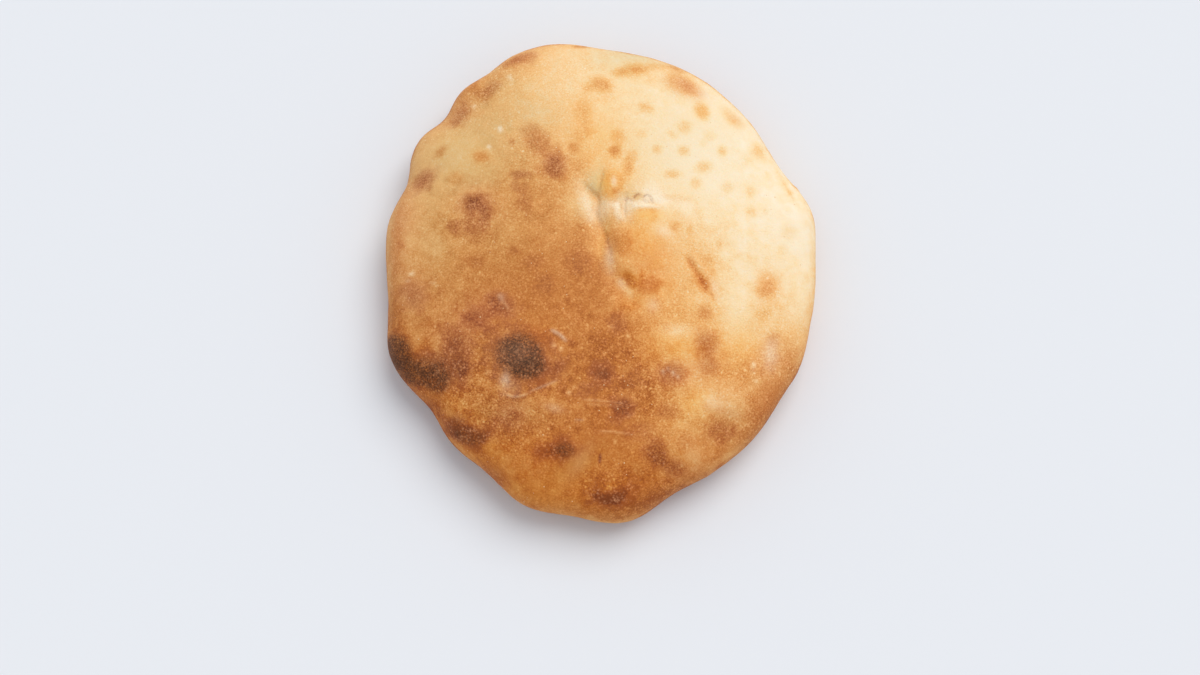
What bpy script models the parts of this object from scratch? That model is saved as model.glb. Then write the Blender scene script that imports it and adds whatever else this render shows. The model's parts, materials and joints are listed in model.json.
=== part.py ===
"""Grilled lepinja: a round, puffed Balkan flatbread, as one solid in metres, +Z up.

The bread lies flat on the face that met the grill. The origin is on that face, under the middle of the
bread's box. +Y is the far edge of the bread and +X its right-hand edge.
"""

import math

import bmesh
import bpy
from mathutils import Vector

MM = 0.001

# Driving dimensions
WIDTH = 196 * MM
LENGTH = 222 * MM
HEIGHT = 46 * MM
WAIST_HEIGHT = 15 * MM
FOOT_SHARE = 0.86
DOME_SPREAD = 0.86
DOME_FULLNESS = 0.90

# Mesh density
CAP_CELLS = 46
CAP_REACH = 0.80
CAP_FOCUS = 0.72
CORNER_EASE = 0.70
WALL_ROWS = 12

# The outline's departures from an ellipse: (bearing in degrees from +X, half width in degrees, mm outwards)
OUTLINE_LOBES = [
    (17, 9, 3.5),
    (31, 12, -3.5),
    (48, 16, -2.0),
    (88, 9, -2.2),
    (109, 21, 6.6),
    (118, 4, -1.2),
    (128, 6, 2.4),
    (134, 4, -2.4),
    (143, 9, 4.6),
    (154, 4, -1.5),
    (167, 9, 2.4),
    (187, 8, -0.6),
    (201, 9, 3.4),
    (220, 8, -3.8),
    (238, 10, -3.0),
    (253, 7, 2.6),
    (275, 8, 3.2),
    (289, 9, -3.4),
    (305, 14, -2.8),
    (323, 9, -2.2),
    (345, 9, -1.0),
]
# How fast those departures fade from the widest line towards the middle
LOBE_FADE = 4

# How the level of the widest line rises and falls round the bread: (bearing, half width, mm upwards)
WAIST_WAVES = [
    (20, 20, 1.8),
    (70, 22, -1.5),
    (112, 16, 2.5),
    (135, 7, -2.0),
    (160, 18, 1.5),
    (222, 16, -2.5),
    (275, 14, -2.0),
    (315, 22, 1.5),
]

# Broad swellings and hollows of the top: (x mm, y mm, half width mm, mm upwards)
TOP_SWELLS = [
    (-34, -22, 42, 2.2),
    (34, 6, 30, 2.0),
    (-12, 62, 26, 1.2),
    (30, -48, 28, 1.4),
    (6, 35, 6, 1.2),
    (-74, 10, 20, -1.4),
    (-58, 58, 12, -1.6),
    (-40, 78, 14, 1.4),
    (-70, 66, 12, 1.4),
    (62, 52, 20, -1.2),
    (8, -84, 20, 1.0),
    (-52, -62, 18, -1.2),
    (74, -44, 18, -1.0),
]

# The creases where folds of the dough met: (points along it in mm, half width mm, depth mm)
CREASES = [
    ([(-7, 34), (-3, 27), (-3, 19), (1, 10), (3, -1), (5, -8), (11, -16)], 4.4, 2.4),
    ([(-3, 27), (0, 37)], 3.6, 1.2),
    ([(11, 30), (10, 22), (12, 14)], 3.4, 1.3),
]

CRUST_COLOUR = (0.62, 0.34, 0.13, 1)
CRUST_ROUGHNESS = 0.72


def clear_scene():
    for obj in list(bpy.data.objects):
        bpy.data.objects.remove(obj, do_unlink=True)


def crust_material():
    material = bpy.data.materials.new("baked_crust")
    material.use_nodes = True
    shader = material.node_tree.nodes["Principled BSDF"]
    shader.inputs["Base Color"].default_value = CRUST_COLOUR
    shader.inputs["Roughness"].default_value = CRUST_ROUGHNESS
    shader.inputs["Metallic"].default_value = 0
    return material


def bell(distance, half_width):
    """1 at distance 0, and nearly 0 from two half widths on."""
    return math.exp(-((distance / half_width) ** 2))


def bearing_waves(bearing, waves):
    """The sum, in metres, of waves given as (degrees, half width in degrees, mm)."""
    total = 0
    for centre, half_width, size in waves:
        away = (math.degrees(bearing) - centre + 180) % 360 - 180
        total += size * MM * bell(away, half_width)
    return total


def ring_radius(bearing, out):
    """Distance from the middle at this bearing, where out is 1 on the widest line and 0 in the middle."""
    across = WIDTH / 2 * math.sin(bearing)
    along = LENGTH / 2 * math.cos(bearing)
    ellipse = WIDTH / 2 * LENGTH / 2 / math.hypot(across, along)
    return ellipse * out + bearing_waves(bearing, OUTLINE_LOBES) * out**LOBE_FADE


def distance_to_path(x, y, path):
    """Distance in metres from a point to a path given in mm."""
    point = Vector((x, y))
    nearest = math.inf
    for (x0, y0), (x1, y1) in zip(path, path[1:]):
        start = Vector((x0, y0)) * MM
        step = Vector((x1, y1)) * MM - start
        along = max(0, min(1, (point - start).dot(step) / step.length_squared))
        nearest = min(nearest, (point - start - step * along).length)
    return nearest


def top_relief(x, y):
    """What the swellings and the creases add to the top's height."""
    height = 0
    for x0, y0, half_width, size in TOP_SWELLS:
        height += size * MM * bell(math.hypot(x - x0 * MM, y - y0 * MM), half_width * MM)
    for path, half_width, depth in CREASES:
        height -= depth * MM * bell(distance_to_path(x, y, path), half_width * MM)
    return height


def crust_point(bearing, share):
    """A point of the crust. share is 0 at the top's middle, 0.5 on the widest line and 1 at the foot."""
    angle = share * math.pi
    waist = WAIST_HEIGHT + bearing_waves(bearing, WAIST_WAVES)
    if share <= 0.5:
        out = math.sin(angle) ** DOME_SPREAD
        height = waist + (HEIGHT - waist) * math.cos(angle) ** DOME_FULLNESS
    else:
        out = FOOT_SHARE + (1 - FOOT_SHARE) * math.sin(angle)
        height = waist * (1 + math.cos(angle))
    radius = ring_radius(bearing, out)
    x = radius * math.cos(bearing)
    y = radius * math.sin(bearing)
    if share < 0.5:
        height += top_relief(x, y) * math.cos(angle)
    return Vector((x, y, height))


def towards_middle(t):
    """Draws a grid line between -1 and 1 towards the middle, where the creases need small faces."""
    return t * (CAP_FOCUS + (1 - CAP_FOCUS) * t * t)


def disc_from_square(x, y):
    """Draws a point of the square from -1 to 1 onto a nearly round disc, as (bearing, radius)."""
    u = x * math.sqrt(1 - CORNER_EASE * y * y / 2)
    v = y * math.sqrt(1 - CORNER_EASE * x * x / 2)
    return math.atan2(v, u), math.hypot(u, v)


def add_cap(bm):
    """The top's middle: a square grid drawn out to a disc. Returns each rim vertex's bearing and share."""
    cap = bmesh.ops.create_grid(bm, x_segments=CAP_CELLS, y_segments=CAP_CELLS, size=1)
    rim_places = {}
    for vert in cap["verts"]:
        bearing, radius = disc_from_square(towards_middle(vert.co.x), towards_middle(vert.co.y))
        share = math.asin((CAP_REACH * radius) ** (1 / DOME_SPREAD)) / math.pi
        if vert.is_boundary:
            rim_places[vert] = (bearing, share)
        vert.co = crust_point(bearing, share)
    return rim_places


def add_walls(bm, places):
    """Rows of faces from the cap's rim over the widest line and down to the foot."""
    for row in range(1, WALL_ROWS + 1):
        rim = [edge for edge in bm.edges if edge.is_boundary]
        made = bmesh.ops.extrude_edge_only(bm, edges=rim)["geom"]
        new_places = {}
        for vert in made:
            if isinstance(vert, bmesh.types.BMVert):
                ends = [edge.other_vert(vert) for edge in vert.link_edges]
                new_places[vert] = next(places[end] for end in ends if end in places)
        for vert, (bearing, share) in new_places.items():
            vert.co = crust_point(bearing, share + (1 - share) * row / WALL_ROWS)
        places = new_places


def add_foot(bm):
    """The flat face that the bread rests on."""
    rim = [edge for edge in bm.edges if edge.is_boundary]
    for edge in rim:
        for vert in edge.verts:
            vert.co.z = 0
    bmesh.ops.contextual_create(bm, geom=rim)


def centre_over_origin(bm):
    """Moves the solid so that the origin is under the middle of its box."""
    for axis in range(2):
        places = [vert.co[axis] for vert in bm.verts]
        middle = (min(places) + max(places)) / 2
        for vert in bm.verts:
            vert.co[axis] -= middle


def build_lepinja():
    bm = bmesh.new()
    add_walls(bm, add_cap(bm))
    add_foot(bm)
    centre_over_origin(bm)
    bmesh.ops.recalc_face_normals(bm, faces=bm.faces)
    mesh = bpy.data.meshes.new("lepinja")
    bm.to_mesh(mesh)
    bm.free()
    mesh.shade_smooth()
    mesh.materials.append(crust_material())
    bread = bpy.data.objects.new("lepinja", mesh)
    bpy.context.scene.collection.objects.link(bread)


clear_scene()
build_lepinja()
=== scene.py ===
"""The looks of a grilled lepinja, a round, puffed flatbread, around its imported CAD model.

The crust replaces the CAD solid with a finer mesh of the same form. Its creases, blisters and browned
spots are placed by pixels of a photograph of 1200 by 675 pixels, where the camera sees them on the crust.
"""

import json
import math

import bmesh
import bpy
import numpy as np
from mathutils import Matrix, Vector, geometry, noise
from mathutils.bvhtree import BVHTree

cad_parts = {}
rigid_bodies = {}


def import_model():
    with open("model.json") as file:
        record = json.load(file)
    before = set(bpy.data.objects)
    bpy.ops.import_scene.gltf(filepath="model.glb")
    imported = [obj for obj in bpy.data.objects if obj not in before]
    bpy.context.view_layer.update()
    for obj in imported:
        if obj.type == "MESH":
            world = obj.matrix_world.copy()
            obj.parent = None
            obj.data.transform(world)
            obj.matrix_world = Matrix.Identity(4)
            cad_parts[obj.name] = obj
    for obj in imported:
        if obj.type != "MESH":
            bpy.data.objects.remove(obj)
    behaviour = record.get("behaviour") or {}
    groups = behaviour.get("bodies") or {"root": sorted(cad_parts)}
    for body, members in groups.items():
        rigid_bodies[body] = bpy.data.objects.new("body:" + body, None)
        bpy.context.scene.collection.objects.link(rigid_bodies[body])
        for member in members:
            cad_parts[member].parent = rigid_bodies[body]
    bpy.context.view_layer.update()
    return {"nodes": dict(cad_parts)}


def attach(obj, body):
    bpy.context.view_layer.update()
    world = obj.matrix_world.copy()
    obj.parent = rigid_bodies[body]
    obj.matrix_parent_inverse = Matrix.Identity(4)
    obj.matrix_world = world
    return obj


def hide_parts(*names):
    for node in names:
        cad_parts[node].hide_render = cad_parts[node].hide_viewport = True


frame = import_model()

MM = 0.001

# Camera
PHOTO_WIDTH = 1200
PHOTO_HEIGHT = 675
CAMERA_ELEVATION = math.radians(73)
CAMERA_DISTANCE = 0.85
PIXEL_SIZE = 0.4651 * MM  # of the photo, at the bread's underside
BREAD_PIXEL = (601, 285.3)  # where the middle of the underside shows
SENSOR_WIDTH = 36  # mm

# Light and floor
SUN_BEARING = math.radians(52)
SUN_ELEVATION = math.radians(56)
SUN_SPREAD = math.radians(45)
SUN_STRENGTH = 1.75
SUN_COLOUR = (1, 0.97, 0.92)
SKY_STRENGTH = 0.62
SKY_COLOUR = (0.93, 0.96, 1, 1)
FLOOR_HALF_WIDTH = 6

# Mesh density
FINE_LEVELS = 2  # times that each face of the solid is split
SPLIT_REACH = 2.5 * MM  # faces nearer than this to one of the LINES are split once more
UNDERSIDE_STEP = 1.7 * MM
WELD = 0.001 * MM  # points nearer to each other than this are one
FOOT_LEVEL = 0.01 * MM  # points lower than this are on the underside
PATH_STEP = 2  # pixels between the points at which a path is laid on the crust

# Noise: what it shapes has its own seeds, counted up from these
NOISE_SHIFT = (17.3, 5.1, -9.7)  # from one seed's noise to the next one's
WAVE_SEED = 1
SEMOLINA_SEED = 11
WOBBLE_SEED = 20
SIDE_SEED = 40
UNDERSIDE_SEED = 60
PIT_SEED = 80

# Waves of the whole crust: (width mm, height mm)
CRUST_WAVES = [(24, 0.45), (11, 0.22), (4.5, 0.08), (1.6, 0.03)]

# Creases, ridges, wrinkles and thin marks; in some grooves the darkening is painted shade, and on some
# wrinkles the paleness is partly painted highlight:
# (pixels along it; half width mm; height mm; toasting, scorching, share of flour)
LINES = [
    # The crease's main groove: its toasting and scorching are painted shade at its bottom
    (
        [(580, 181), (586, 187), (592, 193), (597, 199), (596, 207), (595, 213), (600, 224)],
        1.4, -1.2, 0.07, 0.08, 0,
    ),
    ([(597, 216), (601, 226), (605, 236), (608, 247), (612, 260)], 1.1, -0.6, 0.08, 0.04, 0),
    ([(605, 240), (611, 256), (618, 271), (628, 284), (642, 294), (652, 302)], 4.4, 0.9, 0, 0, 0),
    # Two more grooves of the crease, their darkening painted shade
    ([(604, 166), (601, 177), (599, 187), (597, 194), (597, 201)], 1, -0.7, 0.05, 0.05, 0),
    ([(627, 190), (625, 199), (624, 209), (625, 220)], 0.7, -0.7, 0, 0.1, 0),
    ([(625, 203), (627, 198), (631, 201), (634, 199)], 0.6, -0.3, 0.08, 0.4, 0),
    ([(632, 200), (635, 196), (638, 194), (641, 197)], 0.6, -0.35, 0.12, 0.55, 0),
    ([(642, 199), (645, 196), (649, 196), (652, 201), (653, 205)], 0.6, -0.4, 0.18, 0.9, 0),
    ([(642, 199), (646, 202), (650, 201)], 0.6, -0.25, 0.12, 0.6, 0),
    ([(632, 206), (640, 206), (650, 206), (662, 208)], 0.7, 0.25, -0.06, 0, 0.45),
    ([(635, 211), (645, 210), (657, 211)], 0.9, 0, 0.1, 0, 0),
    ([(616, 276), (621, 284), (628, 291), (638, 296)], 1.8, 0.15, -0.08, 0, 0.08),
    ([(684, 252), (690, 262), (697, 273), (703, 283), (708, 294)], 1.2, -0.4, 0.22, 0.06, 0),
    ([(690, 251), (698, 262), (706, 273), (711, 284)], 1.1, 0.25, -0.04, 0, 0.04),
    ([(709, 292), (712, 296), (714, 302)], 0.6, -0.15, 0.16, 0.04, 0),
    ([(589, 488), (598, 497), (611, 500), (623, 494), (631, 484)], 2.2, 0.15, 0.1, 0.3, 0),
    # Fine raised wrinkles, in the next five: their paleness is partly flour and partly painted highlight
    ([(576, 399), (590, 400), (604, 401), (628, 404)], 0.45, 0.16, -0.17, 0, 0.08),
    ([(584, 404), (604, 405), (626, 407)], 0.45, 0.12, -0.16, 0, 0.05),
    ([(528, 392), (544, 386), (560, 379)], 0.5, 0.14, -0.08, 0, 0.16),
    ([(596, 431), (616, 432), (636, 435)], 0.45, 0.1, -0.14, 0, 0.08),
    ([(573, 420), (585, 420)], 0.5, 0.1, 0, 0, 0.12),
    ([(502, 392), (511, 396), (521, 396), (531, 392)], 0.5, 0.2, -0.34, 0, 0.16),
    # A raised wrinkle whose paleness is partly flour and partly painted highlight
    ([(549, 329), (559, 334), (568, 343)], 0.8, 0.18, 0, 0, 0.3),
    ([(600, 453), (600, 459), (599, 465)], 0.6, -0.2, 0.45, 0.9, 0),
    ([(497, 293), (503, 301), (510, 311)], 0.8, 0.15, -0.14, -0.2, 0.08),
    ([(778, 172), (786, 186), (793, 198), (799, 210)], 1, -0.35, 0.08, 0.03, 0),
    ([(784, 170), (793, 184), (801, 198), (806, 212)], 1.5, 0.4, 0, 0, 0.06),
]

# In the lists that follow, a place is x, y in pixels, half the length and half the width in mm and, where
# it is tilted, its degrees from the picture's right. Where places overlap, they add up. Under each heading
# they run from the top of the picture down.

# Raised blisters, and dents where the height is below 0: (place; height mm)
BLISTERS = [
    (633, 70, 7.4, 2.4, 4, 0.35),
    (601, 84, 5, 3, -18, 0.35),
    (685, 87, 11, 3.8, -27, 0.5),
    (556, 163, 4.6, 4.6, 0.35),
    (614, 184, 6, 5.4, 0.7),
    (478, 204, 6, 6, 0.35),
    (607, 210, 3.6, 5, 0.5),
    (648, 232, 10, 8, -40, 0.5),
    (628, 277, 4, 2.8, -70, -0.5),
    (652, 286, 6.5, 4.4, 10, 0.35),
    (520, 358, 11, 10, 0.5),
    (416, 364, 12, 6, -45, 0.5),
    (612, 484, 10, 7, 0.35),
]

# Fields of the crust, which its material reads: how far it is baked, scorched, charred and floured, how far
# it leans to three tints, and how strong its fine texture is. In places the baking and scorching also hold
# painted shade, and the flour a painted highlight
FIELD_NAMES = ("bake_and_shading", "scorch_and_shade", "char", "flour_and_highlight", "orange", "olive", "rose", "grain")
GRAIN_STRENGTH = 1  # of the fine texture, where its zones don't change it
BASE_BAKE = 0.46  # from 0, pale dough, to about 1, deep brown
# Where it is more or less baked, and in places painted shade and light: (place; change)
BAKE_AND_SHADING_ZONES = [
    # Broad; those that make the lower and left half more baked are partly painted shade, as that half turns
    # from the light
    (600, 50, 36, 4, -0.08),
    (590, 75, 40, 12, -0.12),
    (490, 85, 30, 6, 42, 0.12),
    (455, 105, 22, 4, 52, 0.1),
    (742, 122, 30, 6, -45, -0.16),
    (700, 150, 46, 32, -35, -0.36),
    (675, 175, 22, 14, -0.03),
    (785, 235, 22, 28, -0.26),
    # Painted shade along the left rim, which turns away from the light, in the next two
    (395, 250, 3, 46, 0.08),
    (395, 270, 3, 30, 0.06),
    (542, 285, 38, 44, 0.3),
    (470, 290, 26, 34, 0.14),
    (736, 308, 8, 22, -0.23),
    (800, 310, 5, 20, -0.13),
    (412, 335, 12, 26, 0.16),
    (610, 350, 30, 20, 0.16),
    (485, 390, 26, 16, -20, 0.16),
    (772, 405, 26, 8, 55, 0.34),
    (425, 408, 22, 8, -53, 0.3),
    (600, 445, 56, 26, 0.3),
    (665, 492, 22, 6, 25, 0.2),
    (625, 500, 22, 7, 0.14),
    (590, 508, 40, 7, 0.12),
    (615, 512, 26, 4, 0.06),
    # Smaller
    (620, 60, 8, 5, -0.1),
    (528, 68, 6, 4, 0.08),
    (540, 118, 10, 7, -0.09),
    (552, 124, 3, 5, 0.06),
    (425, 132, 16, 4, 42, 0.08),
    (600, 135, 14, 10, -0.07),
    (455, 148, 18, 14, 35, -0.12),
    (564, 160, 2, 4, 0.05),
    (608, 172, 8, 10, -0.09),
    (480, 174, 12, 5, -0.06),
    (612, 176, 4, 3, 0.1),
    (600, 178, 2.4, 7, -0.12),
    (592, 180, 4, 5, -0.09),
    (622, 188, 9, 4, -0.06),
    (535, 190, 18, 14, 0.08),
    # The next two pale the crease's bank: partly less baked, partly a painted highlight on its side that
    # faces the light
    (574, 204, 7, 7, -0.12),
    (590, 204, 5, 8, -0.15),
    (644, 213, 7, 2.2, -0.06),
    (800, 215, 5, 8, -0.05),
    (648, 217, 7, 5, -0.06),
    (583, 230, 4, 6, 0.12),
    (507, 236, 12, 12, -0.1),
    (648, 236, 10, 12, -0.12),
    (629, 240, 2.4, 6, 0.08),
    (600, 241, 2, 8, -10, 0.04),
    (600, 245, 1.8, 9, -10, -0.14),
    (628, 245, 5, 5, 0.05),
    (806, 245, 3, 12, -0.1),
    (440, 250, 8, 5, -0.04),
    (437, 252, 6, 6, -0.05),
    (688, 266, 8, 5, -0.08),
    (580, 280, 4, 7, 0.05),
    (692, 280, 7, 6, -0.05),
    (597, 287, 10, 7, 0.12),
    (480, 290, 14, 12, -0.05),
    (634, 293, 4, 2.4, -35, -0.14),
    (662, 299, 5, 4, -0.05),
    (698, 300, 5, 4, -0.12),
    (626, 305, 4, 3, -0.07),
    (655, 308, 8, 4, -0.05),
    (390, 318, 4, 9, 0.2),
    (532, 318, 5, 8, -0.04),
    (795, 318, 7, 8, -0.05),
    (677, 330, 7, 3, -0.12),
    (800, 330, 5, 8, 0.05),
    (768, 332, 6, 6, -0.1),
    (630, 333, 18, 5, -0.05),
    (477, 335, 7, 7, 0.03),
    (660, 336, 9, 4, -0.1),
    (690, 338, 5, 5, -0.05),
    (424, 342, 4, 4.5, -0.09),
    (620, 342, 14, 10, 0.12),
    (680, 345, 12, 7, -0.09),
    (755, 347, 5, 5, -0.06),
    (660, 350, 6, 5, -0.05),
    (611, 352, 12, 10, 0.04),
    (474, 356, 5, 4, 0.05),
    (790, 360, 5, 8, 0.06),
    (700, 362, 7, 5, -0.06),
    (535, 368, 9, 5, 0.04),
    (685, 368, 7, 7, -0.1),
    (692, 370, 7, 6, -0.07),
    (430, 372, 6, 5, 0.04),
    (486, 372, 8, 8, 0.05),
    (735, 372, 14, 8, 10, 0.14),
    (772, 372, 5, 6, -0.1),
    (590, 376, 14, 5, 0.07),
    (504, 380, 3.2, 4.4, -20, -0.14),
    (480, 388, 9, 4, -0.08),
    (600, 390, 14, 7, 0.06),
    (645, 390, 9, 7, 0.12),
    (668, 390, 8, 5, 0.05),
    (515, 392, 6, 2.6, -0.04),
    (757, 394, 8, 10, -0.06),
    (700, 398, 10, 8, -0.06),
    (705, 400, 18, 8, 30, -0.2),
    (602, 403, 10, 4, 0.07),
    (458, 404, 6, 4, -0.1),
    (572, 405, 8, 4, -0.06),
    (735, 405, 7, 5, -0.12),
    (530, 408, 9, 6, -0.18),
    (722, 410, 8, 4, -0.07),
    (648, 412, 9, 4, 0.1),
    (470, 415, 7, 4, -0.04),
    (612, 425, 14, 5, 0.07),
    (738, 428, 4, 7, -0.16),
    (505, 430, 5, 5, 0.1),
    (682, 430, 6, 6, -0.04),
    (688, 455, 7, 12, -0.14),
    (678, 457, 9, 5, -20, -0.05),
    (722, 458, 8, 4, 20, -0.1),
    (576, 463, 12, 5, 35, -0.14),
    (655, 465, 9, 6, -0.05),
    (500, 466, 6, 4, -0.06),
    (690, 466, 7, 5, -0.08),
    (530, 470, 18, 11, 0.06),
    (640, 472, 6, 4, 0.12),
    (612, 484, 6, 4, 0.04),
    (540, 500, 12, 6, 0.08),
    (560, 500, 16, 5, -0.08),
]

# Where the crust's fine texture is stronger or weaker: (place; change)
GRAIN_ZONES = [
    (590, 75, 40, 14, 0.6),
    (475, 100, 18, 6, 48, 0.8),
    (460, 140, 26, 16, 35, -0.3),
    (700, 140, 40, 30, 0.9),
    (535, 150, 14, 12, -45, 0.4),
    (611, 182, 5, 6, 1.2),
    (600, 190, 16, 20, 0.4),
    (472, 222, 12, 9, 0.5),
    (745, 280, 24, 30, 1.1),
    (555, 290, 24, 24, -0.25),
    (690, 345, 14, 8, -0.3),
    (706, 350, 5, 8, 0.7),
    (460, 355, 14, 12, 0.4),
    (520, 356, 12, 12, 0.1),
    (710, 370, 34, 26, 0.85),
    (768, 395, 10, 12, -0.5),
    (580, 402, 12, 5, 5, -0.3),
    (720, 405, 14, 10, 0.4),
    (495, 410, 26, 12, -20, 0.7),
    (600, 432, 18, 8, 5, -0.35),
    (610, 452, 20, 8, -0.3),
    (578, 462, 10, 5, 60, -0.3),
    (662, 462, 12, 8, -30, 0.4),
    (530, 475, 18, 12, -0.25),
    (610, 480, 12, 8, 0.5),
    (640, 480, 14, 8, -0.25),
]

# Where the crust leans to orange, over the lower part partly its own colour and partly painted warm
# reflected light: (place; lean)
ORANGE_ZONES = [
    (633, 71, 9, 4, 4, 0.4),
    (473, 85, 5, 3, 40, 0.4),
    (702, 111, 4, 4, 0.4),
    (733, 122, 5, 3, -40, 0.35),
    (598, 128, 13, 18, 0.34),
    (604, 136, 8, 4, 0.2),
    (480, 157, 4, 3, 0.2),
    (610, 168, 11, 12, 0.25),
    (610, 186, 6, 6, 0.8),
    (646, 214, 7, 3, 0.5),
    (645, 228, 9, 12, 0.5),
    (602, 245, 2.4, 10, -15, 0.4),
    (625, 246, 8, 8, 0.3),
    (658, 252, 5, 12, 0.15),
    (655, 265, 12, 12, 0.3),
    (690, 270, 14, 12, 0.05),
    (629, 278, 4, 3, -60, 0.8),
    (629, 279, 3, 2, -70, 0.4),
    (703, 282, 6, 3.4, -58, 0.5),
    (650, 285, 7, 5, 0.4),
    (768, 285, 5, 6, 0.15),
    (655, 293, 7, 5, 0.2),
    (715, 300, 26, 30, 0.14),
    (630, 306, 7, 4, 0.4),
    (668, 335, 16, 11, 0.3),
    (535, 337, 7, 6, 0.5),
    (540, 345, 12, 14, 0.25),
    (690, 345, 12, 7, 0.15),
    (742, 348, 12, 10, 0.45),
    (690, 352, 6, 5, 0.15),
    (655, 355, 12, 5, 0.2),
    (625, 360, 30, 26, 0.15),
    (402, 364, 14, 8, -60, 0.5),
    (412, 372, 16, 7, -45, 0.35),
    (478, 372, 6, 6, 0.25),
    (605, 375, 8, 5, 0.25),
    (695, 380, 20, 20, 0.15),
    (515, 385, 12, 7, 0.3),
    (700, 402, 7, 5, 0.45),
    (430, 405, 20, 8, -53, 0.45),
    (455, 405, 10, 5, -40, 0.35),
    (612, 409, 5, 5, 0.35),
    (495, 410, 22, 10, -30, 0.08),
    (700, 420, 22, 22, 0.2),
    (470, 436, 12, 6, -10, 0.3),
    (478, 450, 8, 4, -15, 0.5),
    (545, 450, 14, 6, 0.4),
    (545, 453, 6, 3, 0.4),
    (480, 455, 26, 7, -42, 0.6),
    (575, 455, 44, 22, 0.36),
    (720, 460, 12, 6, 25, 0.25),
    (662, 462, 12, 8, -30, 0.35),
    (575, 490, 40, 14, 0.5),
    (612, 492, 14, 6, 0.3),
    (615, 495, 12, 5, 10, 0.3),
    (610, 496, 8, 4, 0.4),
    (545, 500, 22, 7, -10, 0.35),
]
# Where it leans to olive, and in the crease's folds painted grey-green shade: (place; lean)
OLIVE_ZONES = [
    (640, 56, 8, 4, 0.25),
    (622, 57, 18, 5, 0.6),
    (490, 88, 8, 5, 40, 0.3),
    (510, 100, 16, 12, 40, 0.4),
    (540, 114, 12, 8, 0.35),
    (700, 130, 44, 34, -30, 0.25),
    (455, 150, 20, 14, 35, 0.9),
    (481, 157, 4, 3, -0.5),
    (500, 170, 18, 12, 0.5),
    (483, 172, 8, 6, 0.4),
    # Painted grey-green shade in the crease's folds, in the next three
    (599, 177, 1.5, 6, -10, 0.45),
    (592, 184, 3, 4, 0.2),
    (589, 189, 4, 2.4, -45, 0.7),
    (640, 197, 7, 2.2, 0.6),
    (584, 205, 6, 9, 0.5),
    # Painted shade in the groove right of the white ridge
    (622, 205, 2.2, 8, 0.35),
    (618, 210, 2.5, 6, 0.5),
    (604, 212, 4, 6, 10, 0.5),
    (435, 225, 9, 20, 0.4),
    (505, 235, 22, 22, 0.5),
    (605, 238, 2, 8, -10, 0.4),
    (610, 255, 3.6, 8, -15, 0.6),
    (440, 275, 20, 20, 0.3),
    (628, 278, 4, 3, -60, 0.8),
    (690, 360, 14, 12, 0.3),
    (517, 388, 5, 8, 0.3),
    (482, 412, 8, 6, 0.35),
    (520, 415, 14, 6, 0.5),
    (725, 415, 12, 6, 0.55),
    (672, 461, 12, 7, -20, 0.3),
    (576, 463, 13, 6, 35, 0.75),
    (640, 470, 14, 6, 20, 0.25),
]
# Where it leans to rose, and along the left rim painted shade: (place; lean)
ROSE_ZONES = [
    (520, 57, 8, 3, 15, 0.3),
    (686, 87, 10, 4, -27, 0.35),
    (690, 88, 7, 2.4, -27, 0.4),
    (458, 112, 8, 5, 50, 0.4),
    (736, 120, 4, 2, -40, 0.3),
    (551, 160, 6, 6, 0.4),
    (424, 180, 7, 3, 48, 0.6),
    (479, 206, 9, 9, 0.6),
    (404, 212, 6, 10, 0.45),
    # Painted rosy shade along the left rim
    (396, 252, 4, 12, 0.5),
    (656, 262, 9, 14, 0.4),
    (705, 285, 4, 7, 35, 0.3),
    (768, 285, 5, 6, 0.4),
    (413, 288, 8, 9, 0.45),
    (495, 304, 11, 8, 0.55),
    (474, 320, 9, 7, 0.5),
    (455, 330, 14, 12, 0.3),
    (706, 352, 7, 10, 0.5),
    (770, 360, 8, 8, 0.35),
    (672, 372, 7, 5, 0.3),
    (690, 372, 7, 7, 0.25),
    (670, 374, 8, 6, 0.4),
    (725, 393, 10, 7, 0.3),
    (765, 400, 16, 5, 55, 0.4),
    (725, 413, 8, 4, 0.35),
    (515, 414, 10, 7, 0.4),
    (690, 460, 12, 9, 0.5),
]

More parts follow.
